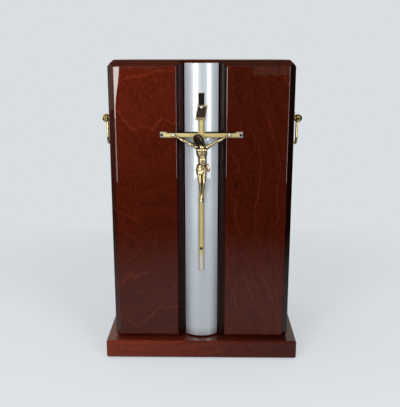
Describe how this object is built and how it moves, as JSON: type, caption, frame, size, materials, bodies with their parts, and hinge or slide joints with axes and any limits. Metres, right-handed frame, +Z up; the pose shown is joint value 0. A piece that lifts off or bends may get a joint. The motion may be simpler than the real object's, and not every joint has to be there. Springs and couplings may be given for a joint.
{
  "type": "reliquary box",
  "caption": "Lacquered wooden box on a plinth with a half-round silver front column, a pinned brass crucifix and a brass drop handle on each side.",
  "frame": {"origin": "on the resting surface, under the middle of the plinth", "axes": "+Z up, +X to the right seen from the front, front faces -Y"},
  "size_m": [0.2192, 0.173, 0.3215],
  "materials": {
    "mahogany_lacquer": "high-gloss red mahogany lacquer",
    "bare_wood": "planed, unfinished",
    "silver_lacquer": "gloss silver-grey pearl lacquer on wood",
    "polished_brass": "polished, pale gold",
    "nickel_plate": "bright nickel plate on the nails",
    "antique_brass": "antiqued, dark in the recesses",
    "screw_steel": "zinc plated",
    "felt": "pressed felt"
  },
  "bodies": {
    "plinth": {"base_plinth": "mahogany_lacquer", "felt_pad_front_left": "felt", "felt_pad_front_right": "felt", "felt_pad_back_left": "felt", "felt_pad_back_right": "felt", "plinth_screw_front_left": "screw_steel", "plinth_screw_front_right": "screw_steel", "plinth_screw_back_left": "screw_steel", "plinth_screw_back_right": "screw_steel"},
    "box": {"front_left_panel": "mahogany_lacquer", "front_right_panel": "mahogany_lacquer", "front_wall": "mahogany_lacquer", "left_side_panel": "mahogany_lacquer", "right_side_panel": "mahogany_lacquer", "back_panel": "mahogany_lacquer", "top_panel": "mahogany_lacquer", "corner_block_front_left": "bare_wood", "corner_block_front_right": "bare_wood", "corner_block_back_left": "bare_wood", "corner_block_back_right": "bare_wood", "column": "silver_lacquer", "cross_upright": "polished_brass", "cross_crossbar": "polished_brass", "title_scroll": "antique_brass", "corpus": "antique_brass", "crossbar_pin_left": "antique_brass", "crossbar_pin_right": "antique_brass", "upright_pin": "antique_brass", "hand_nail_left": "nickel_plate", "hand_nail_right": "nickel_plate", "feet_nail": "nickel_plate", "title_pin": "nickel_plate", "left_rosette_front": "polished_brass", "left_rosette_back": "polished_brass", "left_handle_post_front": "polished_brass", "left_handle_post_back": "polished_brass", "right_rosette_front": "polished_brass", "right_rosette_back": "polished_brass", "right_handle_post_front": "polished_brass", "right_handle_post_back": "polished_brass"},
    "left_bail": {"left_bail": "polished_brass"},
    "right_bail": {"right_bail": "polished_brass"}
  },
  "joints": [
    {"name": "box_lift", "type": "slide", "parent": "plinth", "child": "box", "axis": [0, 0, 1], "range_m": [0, 0.1]},
    {"name": "right_bail_swing", "type": "hinge", "parent": "box", "child": "right_bail", "pos_m": [0.105, 0, 0.259], "axis": [0, -1, 0], "range_deg": [-15, 195]},
    {"name": "left_bail_swing", "type": "hinge", "parent": "box", "child": "left_bail", "pos_m": [-0.105, 0, 0.259], "axis": [0, 1, 0], "range_deg": [-15, 195]}
  ]
}
